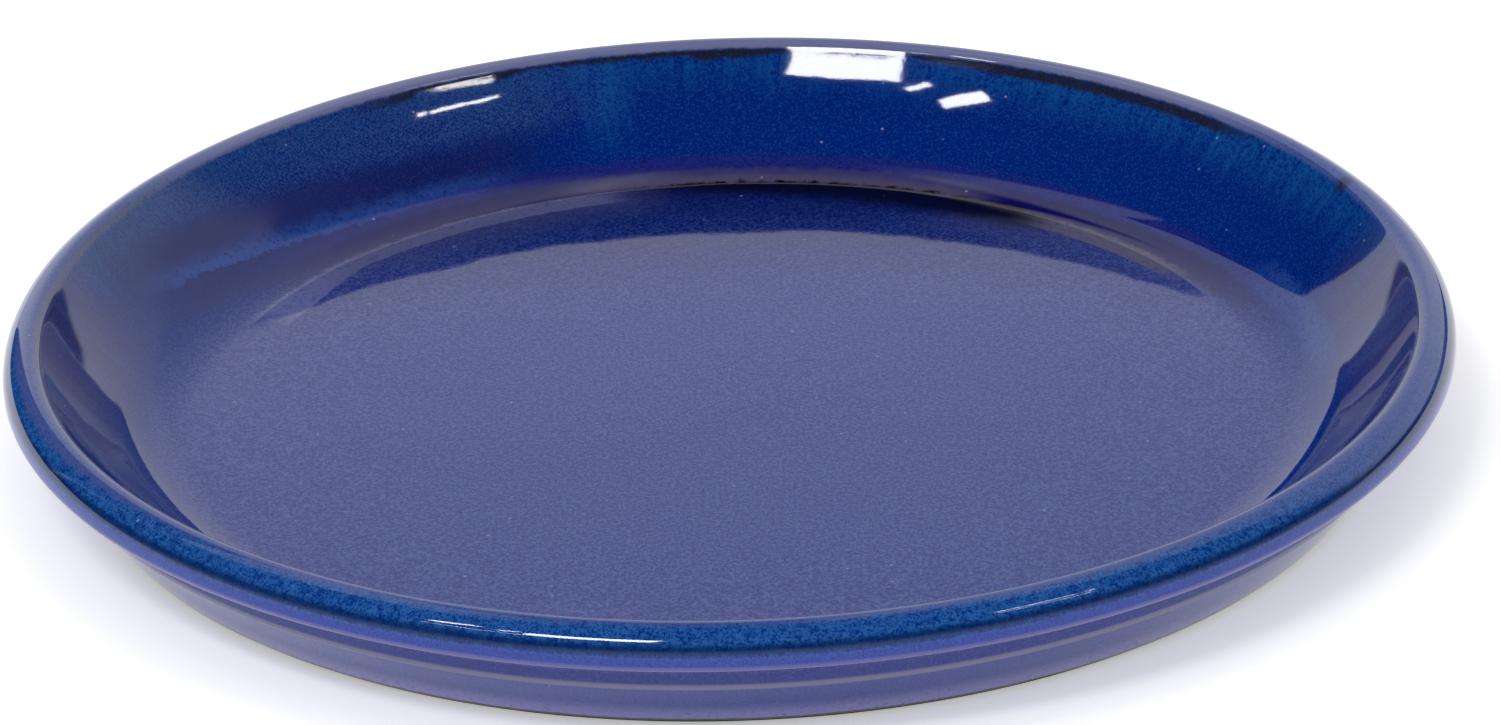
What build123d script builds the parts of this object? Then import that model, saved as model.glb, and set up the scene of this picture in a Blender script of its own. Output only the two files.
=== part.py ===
from build123d import *
import os

# Plant saucer: a round stoneware dish with a sloping wall, a thick rounded lip and a bare foot,
# under a coat of gloss glaze. Millimetres, +Z up, origin at the middle of the footprint.

# Overall sizes, measured over the glaze
overall_diameter = 300.0
overall_height = 28.0
glaze_thickness = 0.6

# Foot and underside of the clay; the foot stands in from the rim by its setback
foot_setback = 17.4
foot_ring_width = 16.0
foot_edge_round = 0.7
recess_depth = 0.4
recess_slope_width = 1.6

# Outside wall: a flare from the foot to a thin ridge, a groove above it, then the lip's band
ridge_flare = 9.6
ridge_drop = 7.8
ridge_round = 0.9
groove_height = 3.7
groove_flare = 0.5
groove_round = 1.2

# Lip: an upright band outside, rounded over to the well
band_height = 7.0
band_edge_round = 0.9
lip_outer_round = 5.0
lip_inner_round = 3.3
lip_width = 8.2

# Well: the wall is this wide at the foot, out to where its line would meet the flat floor
clay_floor_height = 4.1
wall_foot_width = 11.7
well_fillet = 20.6

# Where the glaze stops above the table, and the rounding of its lower edge
glaze_line_height = 0.9
glaze_edge_round = 0.35
trim_overrun = 5.0

# Places worked out from the sizes above
rim_radius = overall_diameter / 2 - glaze_thickness
rim_height = overall_height - glaze_thickness
foot_radius = rim_radius - foot_setback
recess_radius = foot_radius - foot_ring_width
recess_floor_radius = recess_radius - recess_slope_width
band_edge_height = rim_height - band_height
ridge_radius = foot_radius + ridge_flare
ridge_height = band_edge_height - ridge_drop
groove_radius = ridge_radius + groove_flare
groove_top = ridge_height + groove_height
lip_inner_radius = rim_radius - lip_width
well_radius = foot_radius - wall_foot_width

# Half section of the clay, from the middle of the underside round to the middle of the floor
with BuildSketch(Plane.XZ) as clay_section:
    with BuildLine():
        outline = FilletPolyline(
            (0, recess_depth),
            (recess_floor_radius, recess_depth),
            (recess_radius, 0),
            (foot_radius, 0),
            (ridge_radius, ridge_height),
            (groove_radius, groove_top),
            (rim_radius, band_edge_height),
            (rim_radius, rim_height),
            (lip_inner_radius, rim_height),
            (well_radius, clay_floor_height),
            (0, clay_floor_height),
            radius=[
                0,
                0,
                foot_edge_round,
                ridge_round,
                groove_round,
                band_edge_round,
                lip_outer_round,
                lip_inner_round,
                well_fillet,
            ],
        )
        Line(outline @ 1, outline @ 0)
    make_face()

# Fired clay dish, thrown in one piece, bare under the foot
with BuildPart() as clay_body:
    add(clay_section.sketch)
    revolve(axis=Axis.Z)

# Glaze: the section grown by the coat's thickness, less the clay, the axis side and the bare foot
with BuildSketch(Plane.XZ) as glaze_section:
    add(clay_section.face())
    offset(amount=glaze_thickness)
    add(clay_section.face(), mode=Mode.SUBTRACT)
    Rectangle(
        trim_overrun,
        overall_height + trim_overrun,
        align=(Align.MAX, Align.CENTER),
        mode=Mode.SUBTRACT,
    )
    with Locations((0, glaze_line_height)):
        Rectangle(
            overall_diameter,
            glaze_line_height + trim_overrun,
            align=(Align.MIN, Align.MAX),
            mode=Mode.SUBTRACT,
        )

with BuildPart() as glaze_coat:
    add(glaze_section.sketch)
    revolve(axis=Axis.Z)
    lower_edges = glaze_coat.edges().filter_by(GeomType.CIRCLE).group_by(Axis.Z)[0]
    fillet(lower_edges.sort_by(SortBy.RADIUS)[-1], glaze_edge_round)

clay_body.part.label = "clay_body"
glaze_coat.part.label = "glaze_coat"

os.makedirs("parts", exist_ok=True)
export_step(clay_body.part, "parts/clay_body.step")
export_step(glaze_coat.part, "parts/glaze_coat.step")
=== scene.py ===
import math
import bpy
import numpy as np
from mathutils import Matrix, Vector, noise


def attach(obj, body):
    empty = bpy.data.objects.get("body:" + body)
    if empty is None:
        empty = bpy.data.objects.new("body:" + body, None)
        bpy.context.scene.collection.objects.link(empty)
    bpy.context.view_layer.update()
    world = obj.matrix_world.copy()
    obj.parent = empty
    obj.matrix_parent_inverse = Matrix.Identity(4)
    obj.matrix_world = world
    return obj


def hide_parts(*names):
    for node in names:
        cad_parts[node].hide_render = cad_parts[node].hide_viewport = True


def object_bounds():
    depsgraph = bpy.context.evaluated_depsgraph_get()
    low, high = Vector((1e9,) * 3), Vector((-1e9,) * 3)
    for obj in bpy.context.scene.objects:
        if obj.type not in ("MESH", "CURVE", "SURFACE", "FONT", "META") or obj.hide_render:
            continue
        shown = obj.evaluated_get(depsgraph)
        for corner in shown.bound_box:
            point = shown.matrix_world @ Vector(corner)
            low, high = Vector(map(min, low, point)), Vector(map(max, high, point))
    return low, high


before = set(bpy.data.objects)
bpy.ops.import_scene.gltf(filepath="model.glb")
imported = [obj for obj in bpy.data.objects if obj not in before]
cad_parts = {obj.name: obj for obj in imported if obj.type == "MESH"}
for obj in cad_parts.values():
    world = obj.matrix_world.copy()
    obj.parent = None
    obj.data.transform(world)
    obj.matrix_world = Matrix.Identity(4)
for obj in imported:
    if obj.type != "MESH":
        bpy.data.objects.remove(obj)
cad_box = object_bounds()

# Plant saucer: a glazed stoneware dish. Metres, +Z up, the camera looks along +Y.

# Sizes of the bare clay, and the coat of glaze over it
glaze_thickness = 0.0006
rim_radius = (cad_box[1].x - cad_box[0].x) / 2 - glaze_thickness
rim_height = cad_box[1].z - glaze_thickness
foot_setback = 0.0174
foot_radius = rim_radius - foot_setback
foot_ring_width = 0.016
foot_edge_round = 0.0007
recess_depth = 0.0004
recess_slope_width = 0.0016
ridge_flare = 0.0096
ridge_radius = foot_radius + ridge_flare
ridge_round = 0.0009
ridge_drop = 0.0078
groove_flare = 0.0005
groove_radius = ridge_radius + groove_flare
groove_rise = 0.0037
groove_round = 0.0012
band_height = 0.007
band_edge_round = 0.0009
lip_outer_drop = 0.00193
lip_outer_round = 0.0062
lip_inner_rise = 0.00046
lip_inner_round = 0.0024
lip_width = 0.00603
floor_height = 0.0041
wall_foot_width = 0.0112
well_radius = foot_radius - wall_foot_width
well_fillet = 0.0206
glaze_line_height = 0.0009

# How a thrown dish departs from a true one
wall_belly = 0.0016
wall_belly_share = 0.4
wall_belly_round = 0.092
floor_crown = 0.0005
out_of_round = 0.0002
out_of_round_turn = 3.6
rim_dip = 0.0002
rim_dip_turn = 2.1
clay_wave = 0.00012
clay_wave_length = 0.045
glaze_wave = 0.00002
glaze_wave_length = 0.009
glaze_line_wave = 0.0004
glaze_line_wave_length = 0.02
glaze_edge_round = 0.0005

# Mesh fineness, and the length below which a gap counts as none
segments = 480
ring_angles = np.arange(segments) * math.tau / segments
straight_step = 0.0012
floor_step = 0.0035
long_run = 0.05
arc_step = math.radians(6)
edge_rings = 6
under_rings = 40
tiny = 1e-6

# Camera, found from the ellipses of the rim and the foot
picture_width = 1500
focal_length_pixels = 8000
sensor_width = 36
camera_near = 0.01
camera_place = Vector((0, -1.5027, 0.713))
camera_pan = math.radians(0.159)
camera_pitch = math.radians(24.915)
camera_roll = math.radians(-1.803)


def corners_of_clay():
    """The clay's half section, from under the middle round to the floor's middle, each corner with its
    radius, height and rounding."""
    recess_radius = foot_radius - foot_ring_width
    band_edge = rim_height - band_height
    ridge_height = band_edge - ridge_drop
    lip_inner = Vector((rim_radius - lip_width, rim_height + lip_inner_rise))
    well = Vector((well_radius, floor_height))
    wall = (well - lip_inner).normalized()
    belly = lip_inner.lerp(well, wall_belly_share) + Vector((-wall.y, wall.x)) * wall_belly
    return {
        "underside": (0, recess_depth, 0),
        "recess_floor": (recess_radius - recess_slope_width, recess_depth, 0),
        "recess_edge": (recess_radius, 0, 0),
        "foot": (foot_radius, 0, foot_edge_round),
        "ridge": (ridge_radius, ridge_height, ridge_round),
        "groove": (groove_radius, ridge_height + groove_rise, groove_round),
        "band_edge": (rim_radius, band_edge, band_edge_round),
        "lip_outer": (rim_radius, rim_height - lip_outer_drop, lip_outer_round),
        "lip_inner": (*lip_inner, lip_inner_round),
        "belly": (*belly, wall_belly_round),
        "well": (*well, well_fillet),
        "middle": (0, floor_height, 0),
    }


def turned(v, angle):
    c, s = math.cos(angle), math.sin(angle)
    return Vector((v.x * c - v.y * s, v.x * s + v.y * c))


def rounded_line(corners):
    """Follows straight runs and arcs through the corners. Returns the samples as rows of
    (way along the line, radius, height, outward normal), and where each rounding starts and ends."""
    names = list(corners)
    places = [Vector(corners[n][:2]) for n in names]
    runs = [(b - a).normalized() for a, b in zip(places, places[1:])]
    rows, marks = [], {}
    way, here = 0.0, places[0]
    for i, name in enumerate(names[1:], 1):
        last = name == names[-1]
        rounding = corners[name][2]
        turn = 0.0 if last else runs[i].angle_signed(runs[i - 1])
        outward = Vector((runs[i - 1].y, -runs[i - 1].x))
        stop = places[i] - runs[i - 1] * rounding * math.tan(abs(turn) / 2)
        length = (stop - here).length
        flat = length > long_run
        count = max(1, round(length / (floor_step if flat else straight_step)))
        for k in range(count):
            place = here.lerp(stop, k / count)
            rows.append((way + length * k / count, *place, *outward))
        way += length
        arc = rounding * abs(turn)
        marks[name] = (way, way + arc)
        if rounding:
            side = math.copysign(rounding, turn)
            centre = stop - outward * side
            count = max(2, round(abs(turn) / arc_step), round(arc / straight_step))
            for k in range(count):
                spoke = turned(outward, turn * k / count)
                rows.append((way + arc * k / count, *(centre + spoke * side), *spoke))
            way += arc
        here = stop if last else places[i] + runs[i] * rounding * math.tan(abs(turn) / 2)
    rows.append((way, *places[-1], 0, 1))
    return np.array(rows), marks


def on_circle(length, seed):
    """Smooth noise round the dish, in waves of about this length at the rim, from -1 to 1."""
    reach = rim_radius / length
    places = [Vector((math.cos(a) * reach, math.sin(a) * reach, seed)) for a in ring_angles]
    return np.array([noise.noise(place) for place in places])


def on_surface(radii, heights, length, seed):
    """Smooth noise over rings of points, in waves of about this length, from -1 to 1."""
    across, deep = radii * np.cos(ring_angles) / length, radii * np.sin(ring_angles) / length
    up = heights / length + seed
    flat = zip(across.ravel(), deep.ravel(), up.ravel())
    return np.array([noise.noise(Vector(p)) for p in flat]).reshape(radii.shape)


def clay_rings(ways):
    """Places (radii, heights) and outward normals of the clay at these ways, one row a ring."""
    way, radius, height, out_r, out_z = line.T
    r, z = np.interp(ways, way, radius), np.interp(ways, way, height)
    n_r, n_z = np.interp(ways, way, out_r), np.interp(ways, way, out_z)
    size = np.hypot(n_r, n_z)
    n_r, n_z = n_r / size, n_z / size
    wave = clay_wave * (on_surface(r, z, clay_wave_length, seed=3) - 1) / 2
    wave = wave * np.clip(z / floor_height, 0, 1)
    crown_radius = well_radius - well_fillet / 2
    crown = floor_crown * np.clip(1 - (r / crown_radius) ** 2, 0, 1) * (n_z > 0)
    squeeze = out_of_round * (1 + np.cos(2 * ring_angles + out_of_round_turn)) / 2
    dip = rim_dip * (1 + np.cos(2 * ring_angles + rim_dip_turn)) / 2
    radii = r + n_r * wave - squeeze * r / rim_radius
    heights = z + n_z * wave - dip * z / rim_height + crown
    return np.where(r < tiny, 0, radii), heights, n_r, n_z


def lathe(name, radii, heights, ways, closed):
    """A mesh through rings of points. A ring of no radius becomes one point, and closed joins the last
    ring to the first."""
    points, starts, reach = [], [], []
    for r, z, w in zip(radii, heights, ways):
        starts.append(len(points))
        if max(r) < tiny:
            points.append((0.0, 0.0, float(z.mean())))
            reach.append(float(w.mean()))
            continue
        points.extend(zip(r * np.cos(ring_angles), r * np.sin(ring_angles), z))
        reach.extend(w)
    sizes = np.diff(starts + [len(points)])
    faces = []
    pairs = list(zip(range(len(starts)), range(1, len(starts))))
    if closed:
        pairs.append((len(starts) - 1, 0))
    for a, b in pairs:
        for i in range(segments):
            j = (i + 1) % segments
            low = [starts[a] + i, starts[a] + j] if sizes[a] > 1 else [starts[a]]
            high = [starts[b] + j, starts[b] + i] if sizes[b] > 1 else [starts[b]]
            faces.append(low + high)
    mesh = bpy.data.meshes.new(name)
    mesh.from_pydata([tuple(map(float, p)) for p in points], [], faces)
    mesh.attributes.new("way", "FLOAT", "POINT").data.foreach_set("value", np.array(reach, np.float32))
    mesh.shade_smooth()
    mesh.update()
    piece = bpy.data.objects.new(name, mesh)
    bpy.context.scene.collection.objects.link(piece)
    return piece


def spread(ways):
    """These ways, each repeated round its ring."""
    return np.repeat(np.asarray(ways)[:, None], segments, axis=1)


def glaze_ways():
    """Ways of the glaze's rings: its uneven lower edge, close rings over the edge's rounding, then the
    line's own samples. Also the ways of the lower edge alone."""
    wall_start, wall_stop = marks["foot"][1], marks["ridge"][0]
    rise = (rim_height - band_height - ridge_drop) / (wall_stop - wall_start)
    waves = on_circle(glaze_line_wave_length, seed=11)
    waves = waves + on_circle(glaze_line_wave_length / 3, seed=5) / 3
    start = wall_start + (glaze_line_height + glaze_line_wave * np.clip(waves, 0, 1)) / rise
    turns = [math.pi / 2 * k / edge_rings for k in range(edge_rings)]
    bead = [start + glaze_edge_round * (1 - math.cos(turn)) for turn in turns]
    count = round((wall_stop - wall_start) / straight_step)
    first = start + glaze_edge_round
    wall = [first + (wall_stop - first) * k / count for k in range(count)]
    rest = spread(line[line[:, 0] > wall_stop - tiny, 0])
    return np.vstack([bead, wall, rest]), start


def glaze_shell():
    ways, start = glaze_ways()
    r, z, n_r, n_z = clay_rings(ways)
    edge = np.clip((ways - start) / glaze_edge_round, 0, 1)
    bead = np.sqrt(1 - (1 - edge) ** 2)
    wave = glaze_wave * (on_surface(r, z, glaze_wave_length, seed=7) - 1)
    coat = (glaze_thickness + wave) * bead
    inner = np.linspace(len(ways) - 1, 1, under_rings).round().astype(int)
    radii = np.vstack([r + n_r * coat, r[inner]])
    heights = np.vstack([z + n_z * coat, z[inner]])
    return lathe("glaze_coat_shell", radii, heights, np.vstack([ways, ways[inner]]), closed=True)


def clay_dish():
    keep = spread(line[:, 0])
    r, z, _, _ = clay_rings(keep)
    return lathe("clay_dish", r, z, keep, closed=False)


class Graph:
    """Writes the nodes of one material or world."""

    def __init__(self, tree):
        self.tree = tree
        tree.nodes.clear()

    def node(self, kind, **settings):
        made = self.tree.nodes.new("ShaderNode" + kind)
        for name, value in settings.items():
            setattr(made, name, value)
        return made

    def put(self, socket, value):
        if isinstance(value, bpy.types.NodeSocket):
            self.tree.links.new(value, socket)
        else:
            socket.default_value = value

    def math(self, operation, *values):
        return self.fill("Math", values, operation=operation)

    def vector(self, operation, *values):
        made = self.fill("VectorMath", values, operation=operation)
        return made.node.outputs["Value"] if operation == "DOT_PRODUCT" else made

    def step(self, value, low, high):
        """0 at low and 1 at high, with a smooth rise between. Low may be the larger."""
        return self.fill("MapRange", (value, low, high), interpolation_type="SMOOTHSTEP")

    def span(self, value, low, high, soft):
        """1 between low and high, with soft sides."""
        rise = self.step(value, low - soft, low + soft)
        return self.math("MULTIPLY", rise, self.step(value, high + soft, high - soft))

    def product(self, *values):
        total = values[0]
        for value in values[1:]:
            total = self.math("MULTIPLY", total, value)
        return total

    def blend(self, share, a, b):
        return self.fill("MixRGB", (share, a, b))

    def cover(self, colour, over, *shares):
        """The colour, covered by another as far as the product of these shares."""
        return self.blend(self.product(*shares), colour, over)

    def average(self, weight, a, b):
        """The average of two values, with this weight for the first."""
        return self.math("MULTIPLY_ADD", a, weight, self.math("MULTIPLY", b, 1 - weight))

    def noise(self, place, size, detail=2.0, lean=0.5):
        """Smooth noise about 0.5, in waves of about this size. Lean is the weight of the finer waves."""
        made = self.node("TexNoise")
        for name, value in {"Vector": place, "Scale": 1 / size, "Detail": detail, "Roughness": lean}.items():
            self.put(made.inputs[name], value)
        return made.outputs["Fac"]

    def shaders(self, share, a, b):
        return self.fill("MixShader", (share, a, b))

    def fill(self, kind, values, **settings):
        """A node with its first inputs filled in order, as its first output."""
        made = self.node(kind, **settings)
        for socket, value in zip(made.inputs, values):
            self.put(socket, value)
        return made.outputs[0]


def new_tree(holder):
    holder.use_nodes = True
    return Graph(holder.node_tree)


# Glaze colours
wall_cobalt = (0.0001, 0.013, 0.155, 1)
wall_speck = (0.006, 0.046, 0.225, 1)
floor_cobalt = (0.0001, 0.01, 0.165, 1)
# Floor specks: glaze crystals, their lilac partly painted sheen
floor_speck_and_sheen = (0.04, 0.07, 0.275, 1)
back_cobalt = (0.0005, 0.003, 0.05, 1)
turquoise = (0.006, 0.07, 0.26, 1)
teal_shade = (0.008, 0.03, 0.135, 1)
grey_teal = (0.034, 0.068, 0.21, 1)
haze_violet = (0.044, 0.045, 0.15, 1)
haze_lilac = (0.05, 0.075, 0.2, 1)
dusk_blue = (0.004, 0.012, 0.095, 1)
dusk_violet = (0.015, 0.022, 0.115, 1)
rust_speck = (0.035, 0.022, 0.1, 1)
run_blue = (0.02, 0.055, 0.25, 1)
# Painted reflections in the back of the well's rounding: dark, hazy, milky and near-black bands
painted_fillet_dark = (0.005, 0.003, 0.08, 1)
painted_fillet_haze_violet = (0.03, 0.03, 0.13, 1)
painted_fillet_haze_grey = (0.062, 0.056, 0.115, 1)
painted_fillet_milk = (0.058, 0.06, 0.165, 1)
painted_fillet_pale = (0.09, 0.105, 0.27, 1)
painted_fillet_smoke = (0.07, 0.064, 0.12, 1)
painted_fillet_black = (0.002, 0.001, 0.006, 1)
fringe_violet = (0.016, 0.014, 0.15, 1)
break_brown = (0.011, 0.011, 0.02, 1)
break_tan = (0.09, 0.095, 0.12, 1)
lip_lilac = (0.055, 0.085, 0.27, 1)
lip_haze = (0.155, 0.165, 0.3, 1)
lip_turquoise = (0.02, 0.095, 0.31, 1)
lip_cobalt = (0.001, 0.026, 0.17, 1)
# Ink specks of the lip's mottle, and also the painted dark reflection on the lip's front
lip_ink_and_painted_dark = (0.0005, 0.01, 0.07, 1)
band_violet = (0.012, 0.052, 0.35, 1)
under_blue = (0.006, 0.018, 0.23, 1)
hollow_speck = (0.03, 0.05, 0.27, 1)
low_wall_blue = (0.001, 0.01, 0.2, 1)
low_wall_speck = (0.016, 0.048, 0.32, 1)
edge_lilac = (0.13, 0.12, 0.36, 1)
ridge_grey = (0.2, 0.2, 0.3, 1)
# Painted light: a pale rose that stands in for light bounced and reflected from the white table
painted_foot_light = (0.3, 0.29, 0.66, 1)
foot_brown = (0.014, 0.007, 0.01, 1)
fleck_white = (0.3, 0.3, 0.46, 1)
pin_dark = (0.01, 0.008, 0.02, 1)

# Glaze grain and streaks: the sizes of the noises, and how much their finer waves weigh
grain_size = 0.0005
speck_size = 0.001
blotch_size = 0.0018
streak_size = 0.0022
streak_stretch = 0.07
full_detail = 4.0
crisp_lean = 0.75
blotch_lean = 0.7
streak_lean = 0.65
ragged_lean = 0.6

# Sides of the dish, in degrees from the right, turning to the back
right_side = 0
front_side = -90


def past(mark, gaps):
    """Ways that lie these gaps past a mark."""
    return [mark + gap for gap in gaps]


class Spot:
    """Where a point of the glaze is: its place, its way along the section, and which side it faces."""

    def __init__(self, g):
        self.g = g
        self.place = g.node("TexCoord").outputs["Object"]
        self.way = g.node("Attribute", attribute_name="way").outputs["Fac"]
        self.side = g.vector("NORMALIZE", g.vector("MULTIPLY", self.place, (1, 1, 0)))
        down = g.node("CombineXYZ")
        g.put(down.inputs["Z"], g.math("MULTIPLY", self.way, streak_stretch))
        around = g.vector("MULTIPLY", self.side, (rim_radius, rim_radius, rim_radius))
        self.flow = g.vector("ADD", around, down.outputs[0])
        self.grain = g.noise(self.place, grain_size, full_detail, crisp_lean)
        self.specks = g.noise(self.place, speck_size, full_detail, crisp_lean)
        self.blotch = g.noise(self.place, blotch_size, full_detail, blotch_lean)
        self.streak = g.noise(self.flow, streak_size, full_detail, streak_lean)

    def facing(self, angle):
        """Cosine of the angle between this point's side and the side at this angle in degrees."""
        a = math.radians(angle)
        return self.g.vector("DOT_PRODUCT", self.side, (math.cos(a), math.sin(a), 0))

    def sector(self, angle, half, soft):
        """1 within half of this angle, falling to 0 over soft more, all in degrees."""
        low, high = math.cos(math.radians(half + soft)), math.cos(math.radians(half))
        return self.g.step(self.facing(angle), low, high)

    def arched(self, angle, way, fall):
        """This way at this angle, and less by fall at a quarter turn from it."""
        return self.g.math("MULTIPLY_ADD", self.facing(angle), fall, way - fall)

    def ragged(self, size, reach, place=None):
        """The way, moved up and down by up to this reach, by noise of this size."""
        noise = self.g.noise(place or self.place, size, full_detail, ragged_lean)
        return self.g.math("ADD", self.way, self.g.math("MULTIPLY_ADD", noise, 4 * reach, -2 * reach))

    def near(self, angle, way, reach):
        """1 at the point at this angle and way, falling to 0 at reach from it."""
        radius = float(np.interp(way, line[:, 0], line[:, 1]))
        height = float(np.interp(way, line[:, 0], line[:, 2]))
        a = math.radians(angle)
        there = (radius * math.cos(a), radius * math.sin(a), height)
        gap = self.g.vector("SUBTRACT", self.place, there)
        return self.g.step(self.g.vector("DOT_PRODUCT", gap, gap), reach * reach, 0.0)


# The layers of the glaze follow, each after its own values. In these, a sector is an angle, half its
# width and its soft ends in degrees, and an edge is the size and the reach of its raggedness. Crystals,
# grain and patches are the two levels of a noise between which a colour comes in. Sides are two cosines
# of the angle to a side of the dish. Fades and bands are ways past a mark of the section, and a share is
# the most that a colour covers what is under it.
wall_crystals = (0.5, 0.62)
floor_crystal_and_sheen_levels = (0.45, 0.57)
floor_speck_weight = 0.6
floor_fade = 0.004
deep_middle = (0, 0.03, 0)
deep_squash = (0.6, 1, 0)
deep_reach = (0.085, 0.15)
deep_share = 0.85


def base_grain(g, at):
    """Cobalt with fine crystals, paler on the flat floor, where its lilac specks are partly painted sheen,
    and deep again towards the back of it.
    """
    start, end = marks["well"]
    wall = g.blend(g.step(at.grain, *wall_crystals), wall_cobalt, wall_speck)
    mixed = g.average(floor_speck_weight, at.specks, at.grain)
    # Lilac floor specks: crystals, partly painted sheen
    floor = g.blend(g.step(mixed, *floor_crystal_and_sheen_levels), floor_cobalt, floor_speck_and_sheen)
    colour = g.blend(g.step(at.way, start, end + floor_fade), wall, floor)
    gap = g.vector("MULTIPLY", g.vector("ADD", at.place, deep_middle), deep_squash)
    back = g.step(g.math("SQRT", g.vector("DOT_PRODUCT", gap, gap)), *deep_reach)
    return g.cover(colour, back_cobalt, back, g.step(at.way, start, end), deep_share)


teal_edge = (0.004, 0.003)
teal_fades = (0.014, 0.001)
teal_speck_weight = 0.65
teal_grain = (0.38, 0.58)
teal_patch_size = 0.3
teal_patches = (0.35, 0.65)
teal_thin = 0.5
teal_thick_sector = (45, 18, 22)
teal_share = 0.9
broad_run_sector = (101, 0.8, 2.4)
broad_run_fades = (0.027, 0.01)
broad_run_grain = (0.36, 0.6)
broad_run_share = 0.7


def wall_teal(g, at, colour):
    """Turquoise speckle that has run down from the lip, thickest at the right and at one broad run."""
    top = marks["lip_inner"][1]
    low = at.ragged(*teal_edge, at.flow)
    mixed = g.average(teal_speck_weight, at.specks, at.streak)
    patches = g.step(g.noise(at.side, teal_patch_size), *teal_patches)
    patches = g.math("MULTIPLY_ADD", patches, 1 - teal_thin, teal_thin)
    thick = g.math("MAXIMUM", patches, at.sector(*teal_thick_sector))
    share = g.product(g.step(low, *past(top, teal_fades)), g.step(mixed, *teal_grain), thick)
    colour = g.cover(colour, turquoise, share, teal_share)
    run = g.product(at.sector(*broad_run_sector), g.step(low, *past(top, broad_run_fades)))
    return g.cover(colour, turquoise, run, g.step(mixed, *broad_run_grain), broad_run_share)


haze_edge = (0.006, 0.002)
haze_fades = (0.03, 0.012)
haze_sides = (-0.32, -0.1)
haze_run_size = 0.005
haze_runs = (0.4, 0.7)
haze_gaps = (0.52, 0.4)
haze_gap_share = 0.6


def side_haze(g, at, colour):
    """Greyish violet thin glaze with pale runs on the upper wall at the sides and the front."""
    low = at.ragged(*haze_edge, at.flow)
    share = g.step(low, *past(marks["lip_inner"][1], haze_fades))
    runs = g.noise(at.flow, haze_run_size, full_detail, ragged_lean)
    haze = g.blend(g.step(runs, *haze_runs), haze_violet, haze_lilac)
    haze = g.cover(haze, wall_cobalt, g.step(at.grain, *haze_gaps), haze_gap_share)
    return g.cover(colour, haze, share, g.step(at.facing(front_side), *haze_sides))


right_run_sector = (13, 7, 7)
right_run_edge = (0.004, 0.0016)
right_run_band = (-0.001, 0.006)
right_run_soft = 0.0012
right_run_grain = (0.36, 0.52)
right_run_share = 0.75
rust_spot_angle = 12.8
rust_spot_rise = 0.0102
rust_spot_reach = 0.0045
rust_spot_grain = (0.4, 0.6)
rust_spot_share = 0.8


def right_runs(g, at, colour):
    """Ragged pale blue runs low on the right wall, and a rust-violet spot above them."""
    start = marks["well"][0]
    band = g.span(at.ragged(*right_run_edge), *past(start, right_run_band), right_run_soft)
    share = g.product(at.sector(*right_run_sector), band, g.step(at.specks, *right_run_grain))
    colour = g.cover(colour, run_blue, share, right_run_share)
    rust = at.near(rust_spot_angle, start - rust_spot_rise, rust_spot_reach)
    return g.cover(colour, rust_speck, rust, g.step(at.specks, *rust_spot_grain), rust_spot_share)


# The wash ends at a way that is furthest down at its lowest side. Its bands are ways past that end
wash_lowest_side = 118
wash_end = 0.0045
wash_fall = 0.042
wash_edge = (0.0035, 0.0012)
wash_teal_sector = (134, 22, 14)
wash_teal_fades = (-0.008, -0.015)
wash_teal_grain = (0.34, 0.56)
wash_grey_crystals = (0.42, 0.62)
wash_teal_share = 0.8
dusk_sector = (134, 16, 16)
dusk_band = (-0.0125, 0.0, 0.0035)
dusk_violet_side = 150
dusk_violet_sides = (0.88, 0.99)
dusk_share = 0.85
under_dusk_band = (0.0, 0.009, 0.003)
under_dusk_share = 0.7
rust_sector = (126, 9, 9)
rust_band = (-0.012, -0.003, 0.003)
rust_crystals = (0.5, 0.62)
rust_share = 0.6
left_run_sector = (135, 16, 10)
left_run_upper = (-0.0062, -0.0012)
left_run_lower = (0.0001, -0.0003)
left_run_grain = (0.32, 0.5)


def left_wash(g, at, colour):
    """Dusky glaze on the left of the back wall, teal above and rust-specked, ending in a pale blue run."""
    end = at.arched(wash_lowest_side, marks["well"][0] + wash_end, wash_fall)
    below = g.math("SUBTRACT", at.ragged(*wash_edge), end)
    teal = g.product(at.sector(*wash_teal_sector), g.step(below, *wash_teal_fades))
    shade = g.blend(g.step(at.grain, *wash_grey_crystals), teal_shade, grey_teal)
    colour = g.cover(colour, shade, teal, g.step(at.grain, *wash_teal_grain), wash_teal_share)
    around = at.sector(*dusk_sector)
    shade = g.blend(g.step(at.facing(dusk_violet_side), *dusk_violet_sides), dusk_blue, dusk_violet)
    colour = g.cover(colour, shade, around, g.span(below, *dusk_band), dusk_share)
    colour = g.cover(colour, dusk_violet, around, g.span(below, *under_dusk_band), under_dusk_share)
    rust = g.product(at.sector(*rust_sector), g.span(below, *rust_band))
    colour = g.cover(colour, rust_speck, rust, g.step(at.grain, *rust_crystals), rust_share)
    run = g.product(at.sector(*left_run_sector), g.step(below, *left_run_upper))
    run = g.product(run, g.step(below, *left_run_lower))
    return g.cover(colour, run_blue, run, g.step(at.specks, *left_run_grain))


fillet_paint_edge = (0.003, 0.0007)
fillet_paint_sector = (80, 44, 25)
fringe_band = (0.0025, 0.0065)
fringe_soft = 0.0015
fringe_grain = (0.3, 0.5)
fringe_share = 0.55
# Painted dark reflection: where the dark band in the well's rounding starts and ends
fillet_dark_upper = (0.005, 0.0075)
fillet_dark_lower = (0.0145, 0.012)
fillet_dark_share = 0.92
# Painted reflection of light from above: the hazy middle band in the well's rounding
fillet_haze_sector = (84, 18, 8)
fillet_haze_band = (0.0062, 0.0116)
fillet_haze_soft = 0.0008
fillet_haze_greys = (0.0068, 0.0102)


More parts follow.
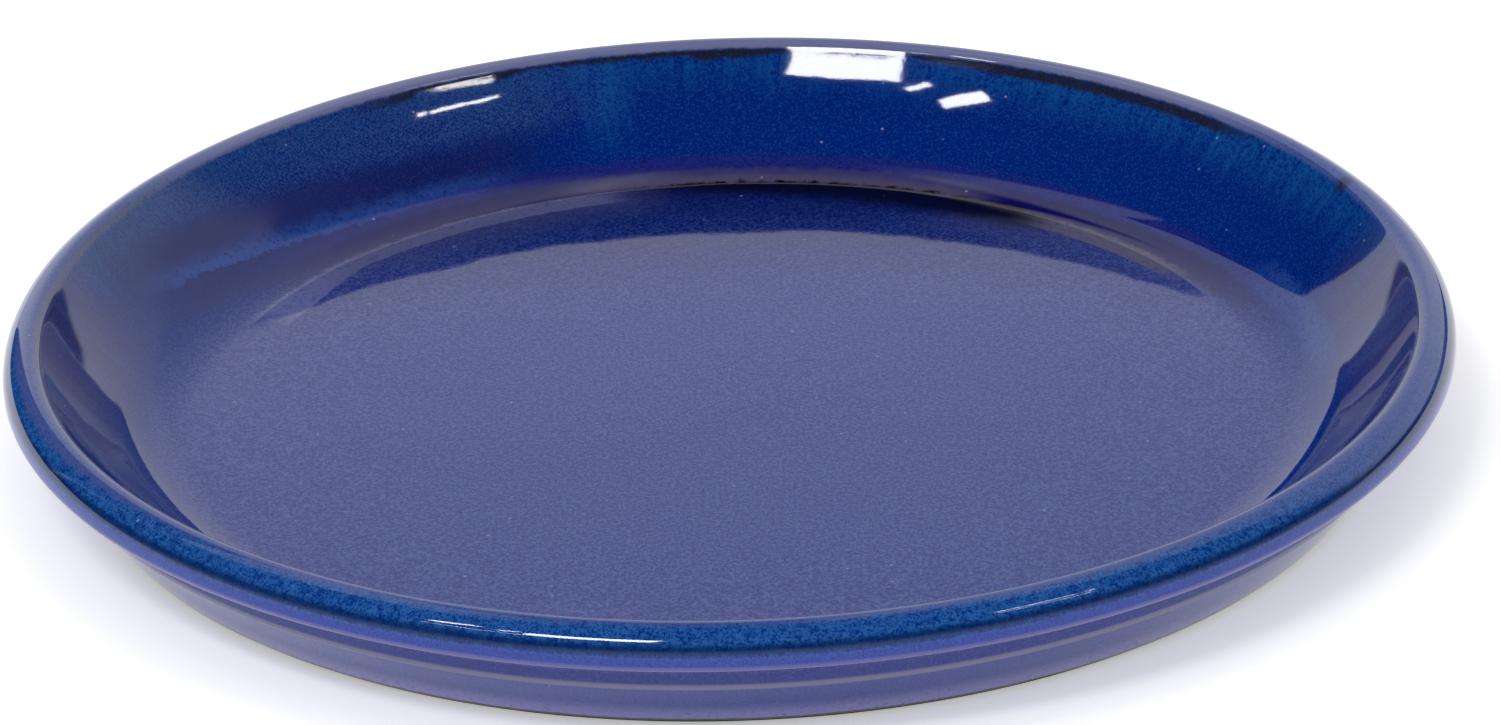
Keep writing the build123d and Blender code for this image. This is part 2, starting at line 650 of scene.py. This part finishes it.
def fillet_painted_reflections(g, at, colour):
    """Painted reflections in the back of the well's rounding: a dark band for the reflected dark wall below
    the lip, hazy in the middle and milky at the sides for reflected light, with a violet fringe above it."""
    start = marks["well"][0]
    way = at.ragged(*fillet_paint_edge)
    around = at.sector(*fillet_paint_sector)
    fringe = g.product(around, g.span(way, *past(start, fringe_band), fringe_soft))
    colour = g.cover(colour, fringe_violet, fringe, g.step(at.specks, *fringe_grain), fringe_share)
    # Painted dark reflection of the dark wall and break below the lip
    painted_dark_band = g.product(around, g.step(way, *past(start, fillet_dark_upper)), g.step(way, *past(start, fillet_dark_lower)))
    colour = g.cover(colour, painted_fillet_dark, painted_dark_band, fillet_dark_share)
    # Painted reflection: a hazy violet-grey band in the middle
    haze = g.product(at.sector(*fillet_haze_sector), g.span(way, *past(start, fillet_haze_band), fillet_haze_soft))
    milky = g.blend(g.step(way, *past(start, fillet_haze_greys)), painted_fillet_haze_violet, painted_fillet_haze_grey)
    colour = fillet_painted_milky_sides(g, at, g.cover(colour, milky, haze), way)
    return fillet_painted_black_band(g, at, colour)


milk_tip_side = 165
milk_tip_sides = (0.848, 0.978)
milk_upper = 0.0112
milk_upper_soft = 0.0016
milk_upper_drop = 0.0015
milk_lower = 0.0172
milk_lower_drop = 0.005
milk_edge = (0.004, 0.0004)
milk_edge_soft = (0.0003, -0.0003)
milk_left_sector = (127, 22, 5)
milk_right_sector = (46, 8, 9)
milk_grain = (0.25, 0.5)
smoke_sides = (-0.1, 0.1)


def fillet_painted_milky_sides(g, at, colour, way):
    """Painted reflection: milky bands below the dark band at both sides, paler and lower at its left tip,
    smoky at the right.
    """
    start = marks["well"][0]
    tip = g.step(at.facing(milk_tip_side), *milk_tip_sides)
    upper = g.math("MULTIPLY_ADD", tip, milk_upper_drop, start + milk_upper)
    lower = g.math("MULTIPLY_ADD", tip, milk_lower_drop, start + milk_lower)
    above = g.step(g.math("SUBTRACT", at.ragged(*milk_edge), lower), *milk_edge_soft)
    sides = g.math("MAXIMUM", at.sector(*milk_left_sector), at.sector(*milk_right_sector))
    below = g.step(g.math("SUBTRACT", way, upper), 0.0, milk_upper_soft)
    left = g.blend(tip, painted_fillet_milk, painted_fillet_pale)
    shade = g.blend(g.step(at.facing(right_side), *smoke_sides), left, painted_fillet_smoke)
    # Painted reflection: the milky bands
    return g.cover(colour, shade, below, above, sides, g.step(at.specks, *milk_grain))


dark_edge = (0.0026, 0.0012)
dark_upper = (0.0104, 0.0118)
dark_lowest_side = 64
dark_end = 0.0225
dark_fall = 0.043
dark_end_fades = (0.002, -0.006)
dark_sector = (76, 19, 7)
dark_grain = (0.24, 0.4)


def fillet_painted_black_band(g, at, colour):
    """Painted dark reflection: the near-black middle of the dark band in the well's rounding."""
    start = marks["well"][0]
    way = at.ragged(*dark_edge)
    end = at.arched(dark_lowest_side, start + dark_end, dark_fall)
    share = g.product(
        g.step(way, *past(start, dark_upper)),
        g.step(g.math("SUBTRACT", way, end), *dark_end_fades),
    )
    # Painted dark reflection: near-black
    return g.cover(colour, painted_fillet_black, share, at.sector(*dark_sector), g.step(at.specks, *dark_grain))


lip_slope_edge = (0.003, 0.0003)
lip_slope_end = (0.0007, -0.0003)
lip_crystals = (0.3, 0.52)
lip_haze_side = 90
lip_haze_sides = (0.45, 0.75)
lip_share = 0.85
mottle_grain_weight = 0.65
mottle_crystals = (0.42, 0.57)
ink_grain = (0.42, 0.34)
ink_share = 0.7
mottle_edge = (0.003, 0.0006)
mottle_inner = 0.0003
mottle_soft = 0.0009
mottle_left_sector = (178, 12, 34)
mottle_left_shift = -0.0017
mottle_right_sector = (5, 26, 28)
mottle_right_loss = 0.75
mottle_sides = (-0.12, 0.1)
# Painted dark reflection on the outer rounding of the lip, at the front
painted_dark_lip_edge = (0.003, 0.0002)
painted_dark_lip_band = (0.0018, 0.0037)
painted_dark_lip_soft = 0.0006
painted_dark_lip_share = 0.75


def lip_top(g, at, colour):
    """The lip's slope: smooth lilac by the dish, then turquoise and cobalt mottle, and a painted dark
    reflection on the outer rounding at the front.
    """
    low, high = marks["lip_outer"]
    on_lip = g.step(at.ragged(*lip_slope_edge), *past(marks["lip_inner"][1], lip_slope_end))
    fine = g.blend(g.step(at.grain, *lip_crystals), lip_cobalt, lip_lilac)
    fine = g.blend(g.step(at.facing(lip_haze_side), *lip_haze_sides), fine, lip_haze)
    colour = g.cover(colour, fine, on_lip, lip_share)
    mixed = g.average(mottle_grain_weight, at.grain, at.blotch)
    mottle = g.blend(g.step(mixed, *mottle_crystals), lip_cobalt, lip_turquoise)
    mottle = g.cover(mottle, lip_ink_and_painted_dark, g.step(at.grain, *ink_grain), ink_share)
    left = at.sector(*mottle_left_sector)
    inner_edge = g.math("MULTIPLY_ADD", left, mottle_left_shift, high + mottle_inner)
    inner = g.math("SUBTRACT", at.ragged(*mottle_edge), inner_edge)
    front = g.step(at.facing(front_side), *mottle_sides)
    right = g.math("MULTIPLY_ADD", at.sector(*mottle_right_sector), -mottle_right_loss, 1.0)
    colour = g.cover(colour, mottle, g.step(inner, mottle_soft, -mottle_soft), front, right)
    # Painted dark reflection: a dark band on the lip's outer rounding, front half only
    dark = g.span(at.ragged(*painted_dark_lip_edge), *past(low, painted_dark_lip_band), painted_dark_lip_soft)
    return g.cover(colour, lip_ink_and_painted_dark, g.product(front, dark), painted_dark_lip_share)


break_edge = (0.0025, 0.0004)
break_upper = (-0.0001, 0.0007)
break_width = 0.0009
break_widening = 0.0018
break_end_soft = 0.0007
break_patch_size = 0.16
break_patch_detail = 3.0
break_patches = (0.42, 0.62)
break_wide_sector = (52, 10, 10)
break_sector = (80, 38, 9)
break_grain = (0.28, 0.46)
break_share = 0.92
tan_crystals = (0.56, 0.68)
tan_share = 0.35
pale_break_side = 74
pale_break_sides = (0.45, 0.1)
pale_break_band = (-0.0014, 0.0004)
pale_break_soft = 0.0008
pale_break_grain = (0.3, 0.55)
pale_break_share = 0.6
break_spot_angle = 22.5
break_spot_rise = 0.0005
break_spot_reach = 0.003
break_spot_grain = (0.3, 0.5)
break_spot_share = 0.8


def lip_break(g, at, colour):
    """Where the glaze has drawn thin below the inner edge of the lip: brown at the back, and pale grey at
    the sides and the front."""
    top = marks["lip_inner"][1]
    way = at.ragged(*break_edge)
    patches = g.step(g.noise(at.side, break_patch_size, break_patch_detail), *break_patches)
    wide = g.math("MAXIMUM", patches, at.sector(*break_wide_sector))
    beyond = g.math("SUBTRACT", way, g.math("MULTIPLY_ADD", wide, break_widening, top + break_width))
    within = g.product(g.step(way, *past(top, break_upper)), g.step(beyond, break_end_soft, -break_end_soft))
    share = g.product(within, at.sector(*break_sector), g.step(at.specks, *break_grain))
    colour = g.cover(colour, break_brown, share, break_share)
    colour = g.cover(colour, break_tan, share, g.step(at.grain, *tan_crystals), tan_share)
    sides = g.step(at.facing(pale_break_side), *pale_break_sides)
    sides = g.product(sides, g.span(way, *past(top, pale_break_band), pale_break_soft))
    colour = g.cover(colour, break_tan, sides, g.step(at.specks, *pale_break_grain), pale_break_share)
    spot = at.near(break_spot_angle, top - break_spot_rise, break_spot_reach)
    return g.cover(colour, break_brown, spot, g.step(at.specks, *break_spot_grain), break_spot_share)


violet_edge = (0.002, 0.0002)
violet_fades = (0.002, 0.001)
violet_crystals = (0.35, 0.6)
low_wall_crystals = (0.4, 0.6)
low_wall_fades = (0.0002, -0.0006)
hollow_fades = (-0.0003, 0.0005)
foot_light_rise = 0.006
foot_light_end = 0.001
foot_light_grain = (0.2, 0.5)
arris_soft = 0.0003
arris_share = 0.8
ridge_widening = (-0.0001, 0.0005)
ridge_soft = 0.0004
ridge_share = 0.9
foot_edge = (0.004, 0.0001)
foot_fades = (0.0024, 0.002)


def outer_wall(g, at, colour):
    """Below the lip: a violet band, then speckled blue that pales to a rose of painted light from the white
    table below, with thin pale edges and a brown line at the foot."""
    arris, ridge, foot = marks["band_edge"], marks["ridge"], marks["foot"]
    band = g.step(at.ragged(*violet_edge), *past(marks["lip_outer"][0], violet_fades))
    violet = g.blend(g.step(at.grain, *violet_crystals), under_blue, band_violet)
    colour = g.cover(colour, violet, band)
    crystals = g.step(at.grain, *low_wall_crystals)
    wall = g.blend(crystals, low_wall_blue, low_wall_speck)
    hollow = g.blend(crystals, under_blue, hollow_speck)
    lower = g.blend(g.step(at.way, *past(ridge[1], hollow_fades)), wall, hollow)
    colour = g.cover(colour, lower, g.step(at.way, *past(arris[0], low_wall_fades)))
    # Painted light: pale rose towards the foot, standing in for light from the white table below
    rose = g.step(at.way, ridge[0] - foot_light_rise, foot[1] + foot_light_end)
    colour = g.cover(colour, painted_foot_light, rose, g.step(at.specks, *foot_light_grain))
    colour = g.cover(colour, edge_lilac, g.span(at.way, *arris, arris_soft), arris_share)
    ridge_band = [way + wider for way, wider in zip(ridge, ridge_widening)]
    colour = g.cover(colour, ridge_grey, g.span(at.way, *ridge_band, ridge_soft), ridge_share)
    return g.cover(colour, foot_brown, g.step(at.ragged(*foot_edge), *past(foot[1], foot_fades)))


fleck_spacing = 0.0045
fleck_reach = 0.1
fleck_core = fleck_reach / 3
pale_flecks_above = 0.8
pale_fleck_share = 0.55
pinholes_below = 0.06
pinhole_share = 0.8


def flecks(g, at, colour):
    """Sparse pale flecks and a few dark pinholes."""
    cells = g.node("TexVoronoi")
    g.put(cells.inputs["Vector"], at.place)
    g.put(cells.inputs["Scale"], 1 / fleck_spacing)
    chance = g.vector("DOT_PRODUCT", cells.outputs["Color"], (1, 0, 0))
    dot = g.step(cells.outputs["Distance"], fleck_reach, fleck_core)
    pale = g.product(dot, g.math("GREATER_THAN", chance, pale_flecks_above))
    colour = g.cover(colour, fleck_white, pale, pale_fleck_share)
    dark = g.product(dot, g.math("LESS_THAN", chance, pinholes_below))
    return g.cover(colour, pin_dark, dark, pinhole_share)


# The glaze's surface
peel_size = 0.0035
pit_size = 0.0006
pit_depth_share = 0.22
peel_depth = 0.000006
glaze_roughness = 0.04
glaze_index = 1.5


def glaze_bump(g, at):
    """Gentle orange peel and very fine pitting."""
    bump = g.node("Bump")
    peel = g.noise(at.place, peel_size)
    pits = g.noise(at.place, pit_size)
    g.put(bump.inputs["Height"], g.math("MULTIPLY_ADD", pits, pit_depth_share, peel))
    g.put(bump.inputs["Distance"], peel_depth)
    return bump.outputs[0]


def glaze_material():
    material = bpy.data.materials.new("cobalt_glaze")
    g = new_tree(material)
    at = Spot(g)
    colour = base_grain(g, at)
    layers = (
        wall_teal,
        side_haze,
        right_runs,
        left_wash,
        fillet_painted_reflections,
        lip_top,
        lip_break,
        outer_wall,
        flecks,
    )
    for layer in layers:
        colour = layer(g, at, colour)
    shader = g.node("BsdfPrincipled")
    g.put(shader.inputs["Base Color"], colour)
    g.put(shader.inputs["Roughness"], glaze_roughness)
    g.put(shader.inputs["IOR"], glaze_index)
    g.put(shader.inputs["Normal"], glaze_bump(g, at))
    g.put(g.node("OutputMaterial").inputs[0], shader.outputs[0])
    return material


# Bare clay: its colours, then the sizes, levels and depths of its grit, clouds and turning rings
clay_brown = (0.07, 0.04, 0.032, 1)
# Toasted clay, darkened further as painted shade where the foot meets the floor
toasted_and_shaded_clay = (0.022, 0.012, 0.014, 1)
clay_pale = (0.17, 0.115, 0.085, 1)
clay_iron = (0.015, 0.009, 0.008, 1)
grit_size = 0.0009
pale_grit = (0.55, 0.7)
pale_grit_share = 0.5
iron_grit = (0.36, 0.3)
cloud_size = 0.025
cloud_detail = 3.0
clouds = (0.3, 0.7)
ring_size = 0.0011
ring_levels = (0.45, 0.7)
ring_share = 0.35
ring_wander = 0.0015
ring_wander_size = 0.03
toasted_and_shaded_width = 0.006
ring_depth_share = 1.5
clay_depth = 0.00006
clay_roughness = 0.85
clay_gloss = 0.2


def clay_material():
    """Dry brown stoneware with turning rings, grit and iron specks, darker towards the glaze: partly
    toasted, partly painted contact shadow.
    """
    material = bpy.data.materials.new("fired_clay")
    g = new_tree(material)
    place = g.node("TexCoord").outputs["Object"]
    way = g.node("Attribute", attribute_name="way").outputs["Fac"]
    grit = g.noise(place, grit_size, full_detail, crisp_lean)
    cloud = g.noise(place, cloud_size, cloud_detail)
    across = g.node("CombineXYZ")
    wander = g.math("MULTIPLY", g.noise(place, ring_wander_size), ring_wander)
    g.put(across.inputs["X"], g.math("ADD", way, wander))
    rings = g.noise(across.outputs[0], ring_size)
    colour = g.blend(g.step(cloud, *clouds), clay_brown, clay_pale)
    colour = g.cover(colour, clay_brown, g.step(rings, *ring_levels), ring_share)
    colour = g.cover(colour, clay_pale, g.step(grit, *pale_grit), pale_grit_share)
    colour = g.cover(colour, clay_iron, g.step(grit, *iron_grit))
    foot = marks["foot"][0]
    # Darker from near the foot's edge up to the glaze: partly toasted clay, partly painted contact shadow
    colour = g.cover(colour, toasted_and_shaded_clay, g.step(way, foot - toasted_and_shaded_width, foot))
    bump = g.node("Bump")
    g.put(bump.inputs["Height"], g.math("MULTIPLY_ADD", rings, ring_depth_share, grit))
    g.put(bump.inputs["Distance"], clay_depth)
    shader = g.node("BsdfPrincipled")
    g.put(shader.inputs["Base Color"], colour)
    g.put(shader.inputs["Roughness"], clay_roughness)
    g.put(shader.inputs["Specular IOR Level"], clay_gloss)
    g.put(shader.inputs["Normal"], bump.outputs[0])
    g.put(g.node("OutputMaterial").inputs[0], shader.outputs[0])
    return material


def seen_rays(g):
    """1 for rays that show the backdrop: from the camera, in a reflection or through glass."""
    path = g.node("LightPath")
    kinds = [path.outputs[n] for n in ("Is Camera Ray", "Is Glossy Ray", "Is Transmission Ray")]
    return g.math("MAXIMUM", g.math("MAXIMUM", kinds[0], kinds[1]), kinds[2])


def floor_material():
    """Plain pale floor. Where it is seen it is lifted towards white, and keeps the dish's shadow."""
    material = bpy.data.materials.new("pale_floor")
    g = new_tree(material)
    diffuse = g.node("BsdfDiffuse")
    g.put(diffuse.inputs["Color"], floor_white)
    glow = g.node("Emission")
    g.put(glow.inputs["Strength"], g.math("MULTIPLY", seen_rays(g), floor_glow))
    both = g.node("AddShader")
    g.put(both.inputs[0], diffuse.outputs[0])
    g.put(both.inputs[1], glow.outputs[0])
    g.put(g.node("OutputMaterial").inputs[0], both.outputs[0])
    return material


# Studio: soft even light, and a surround that only the gloss shows. It has a white sweep behind the dish,
# black above that and low behind it, and white again high up, at both sides of a black middle band. A
# black flag stands near its left, and the zone low on the camera's side is bright
floor_white = (0.85, 0.85, 0.85, 1)
card_black = (0, 0, 0, 1)
floor_glow = 0.35
floor_reach = 6.0
even_light = 1.0
sweep_level = 1.0
sweep_rises = 0.2
sweep_high = 0.47
sweep_low = 0.37
sweep_slant = -0.2
sweep_left = (0.559, 0.829, 0.0)
sweep_left_soft = 0.03
sweep_right = (-0.309, 0.951, 0.0)
sweep_right_soft = 0.1
sweep_top = 0.64
sweep_ends = 0.7
overhead_back = 0.03
overhead_fades = 0.22
overhead_narrows = 0.3
behind_starts = 0.05
behind_full = 0.15
band_shift = 0.06
band_half = 0.08
band_soft = 0.06
gap_height = 0.087
gap_slant = 0.041
gap_soft = 0.012
gap_starts = 0.35
gap_full = 0.5
low_zone_slant = 0.3
low_zone_full = -0.06
low_zone_ends = 0.2
flag_ends = ((-0.48, 0.76), (-1.1, 0.6))
flag_height = 1.15
lamp_distance = 4.0
lamp_radiance = 24

# Lamps, each from one end's direction to the other's, with its thickness as an angle in degrees
lamps = {
    "soft_box": ((-0.158, -0.565, 0.811), (-0.407, -0.464, 0.788), 6.2),
    "right_strip_high": ((0.653, -0.322, 0.686), (0.498, -0.442, 0.746), 0.45),
    "right_strip_low": ((0.597, -0.269, 0.757), (0.474, -0.390, 0.789), 0.8),
    "right_strip_end": ((0.622, -0.247, 0.743), (0.606, -0.261, 0.751), 0.9),
    "left_strip_small": ((-0.398, -0.390, 0.830), (-0.446, -0.400, 0.801), 1.2),
    "left_strip_broad": ((-0.450, -0.300, 0.841), (-0.545, -0.296, 0.785), 2.6),
    "left_strip_high": ((-0.422, -0.511, 0.749), (-0.601, -0.379, 0.704), 0.4),
}


def surround_level(g, way):
    """How bright the surround is in this direction."""
    split = g.node("SeparateXYZ")
    g.put(split.inputs[0], way)
    x, y, z = split.outputs
    left = g.step(g.vector("DOT_PRODUCT", way, sweep_left), -sweep_left_soft, sweep_left_soft)
    right = g.step(g.vector("DOT_PRODUCT", way, sweep_right), -sweep_right_soft, sweep_right_soft)
    off_centre = g.step(g.math("ABSOLUTE", g.math("ADD", x, band_shift)), band_half, band_half + band_soft)
    behind = g.math("MULTIPLY_ADD", g.math("ABSOLUTE", x), -overhead_narrows, y)
    high = g.product(
        off_centre,
        g.step(g.math("SUBTRACT", 1.0, g.product(z, z)), overhead_back, overhead_fades),
        g.step(behind, behind_starts, behind_full),
    )
    top = g.math("MAXIMUM", g.step(z, sweep_ends, sweep_top), high)
    level = g.math("MULTIPLY_ADD", x, sweep_slant, sweep_level - sweep_rises / 2)
    level = g.math("MULTIPLY_ADD", g.step(z, sweep_high, sweep_low), sweep_rises, level)
    gap = g.step(g.math("ABSOLUTE", x), gap_starts, gap_full)
    gap = g.product(gap, g.math("MULTIPLY_ADD", x, gap_slant, gap_height))
    sweep = g.product(left, right, top, level, g.step(g.math("SUBTRACT", z, gap), -gap_soft, gap_soft))
    low = g.step(g.math("MULTIPLY_ADD", y, low_zone_slant, z), low_zone_ends, low_zone_full)
    return g.math("MAXIMUM", sweep, low)


def make_world():
    world = bpy.data.worlds.new("studio")
    bpy.context.scene.world = world
    g = new_tree(world)
    path = g.node("LightPath")
    glossy = g.node("Background")
    g.put(glossy.inputs["Strength"], surround_level(g, g.node("TexCoord").outputs["Generated"]))
    even = g.node("Background")
    g.put(even.inputs["Strength"], even_light)
    white = g.node("Background")
    lit = g.shaders(path.outputs["Is Glossy Ray"], even.outputs[0], glossy.outputs[0])
    seen = g.math("MAXIMUM", path.outputs["Is Camera Ray"], path.outputs["Is Transmission Ray"])
    g.put(g.node("OutputWorld").inputs[0], g.shaders(seen, lit, white.outputs[0]))


def studio_plane(name, corners, material):
    mesh = bpy.data.meshes.new(name)
    mesh.from_pydata(corners, [], [tuple(range(len(corners)))])
    mesh.materials.append(material)
    plane = bpy.data.objects.new(name, mesh)
    bpy.context.scene.collection.objects.link(plane)
    return plane


def make_floor():
    s = floor_reach
    studio_plane("studio_floor", [(-s, -s, 0), (s, -s, 0), (s, s, 0), (-s, s, 0)], floor_material())


def make_flag():
    """A black card that only reflections show."""
    material = bpy.data.materials.new("black_card")
    g = new_tree(material)
    black = g.node("BsdfDiffuse")
    g.put(black.inputs["Color"], card_black)
    g.put(g.node("OutputMaterial").inputs[0], black.outputs[0])
    a, b = flag_ends
    corners = [(*a, 0), (*b, 0), (*b, flag_height), (*a, flag_height)]
    flag = studio_plane("black_flag", corners, material)
    flag.visible_camera = False
    flag.visible_diffuse = False
    flag.visible_shadow = False
    flag.visible_transmission = False


def make_lamp(name, start, stop, thickness):
    """A soft box or strip light that faces the dish, from one direction to another."""
    a, b = Vector(start).normalized(), Vector(stop).normalized()
    away = (a + b).normalized()
    along = (b - a).normalized()
    length = 2 * lamp_distance * math.tan(a.angle(b) / 2)
    width = 2 * lamp_distance * math.tan(math.radians(thickness) / 2)
    data = bpy.data.lights.new(name, "AREA")
    data.shape = "RECTANGLE"
    data.size, data.size_y = length, width
    data.energy = lamp_radiance * math.pi * length * width
    lamp = bpy.data.objects.new(name, data)
    turn = Matrix((along, away.cross(along), away)).transposed()
    lamp.matrix_world = Matrix.Translation(away * lamp_distance) @ turn.to_4x4()
    lamp.visible_camera = False
    bpy.context.scene.collection.objects.link(lamp)


def make_camera():
    cp, sp = math.cos(camera_pitch), math.sin(camera_pitch)
    ahead = Vector((math.sin(camera_pan) * cp, math.cos(camera_pan) * cp, -sp))
    level = ahead.cross(Vector((0, 0, 1))).normalized()
    upright = level.cross(ahead)
    c, s = math.cos(camera_roll), math.sin(camera_roll)
    right, up = level * c + upright * s, upright * c - level * s
    data = bpy.data.cameras.new("camera")
    data.sensor_width = sensor_width
    data.lens = focal_length_pixels / picture_width * sensor_width
    data.clip_start = camera_near
    camera = bpy.data.objects.new("camera", data)
    turn = Matrix((right, up, -ahead)).transposed()
    camera.matrix_world = Matrix.Translation(camera_place) @ turn.to_4x4()
    bpy.context.scene.collection.objects.link(camera)
    bpy.context.scene.camera = camera


make_camera()
make_world()
make_floor()
make_flag()
for lamp_name, (lamp_start, lamp_stop, lamp_thickness) in lamps.items():
    make_lamp(lamp_name, lamp_start, lamp_stop, lamp_thickness)

line, marks = rounded_line(corners_of_clay())
clay = clay_dish()
clay.data.materials.append(clay_material())
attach(clay, "root")
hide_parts("clay_body")

glaze = glaze_shell()
glaze.data.materials.append(glaze_material())
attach(glaze, "root")
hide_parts("glaze_coat")

bpy.context.scene.view_settings.view_transform = "Standard"
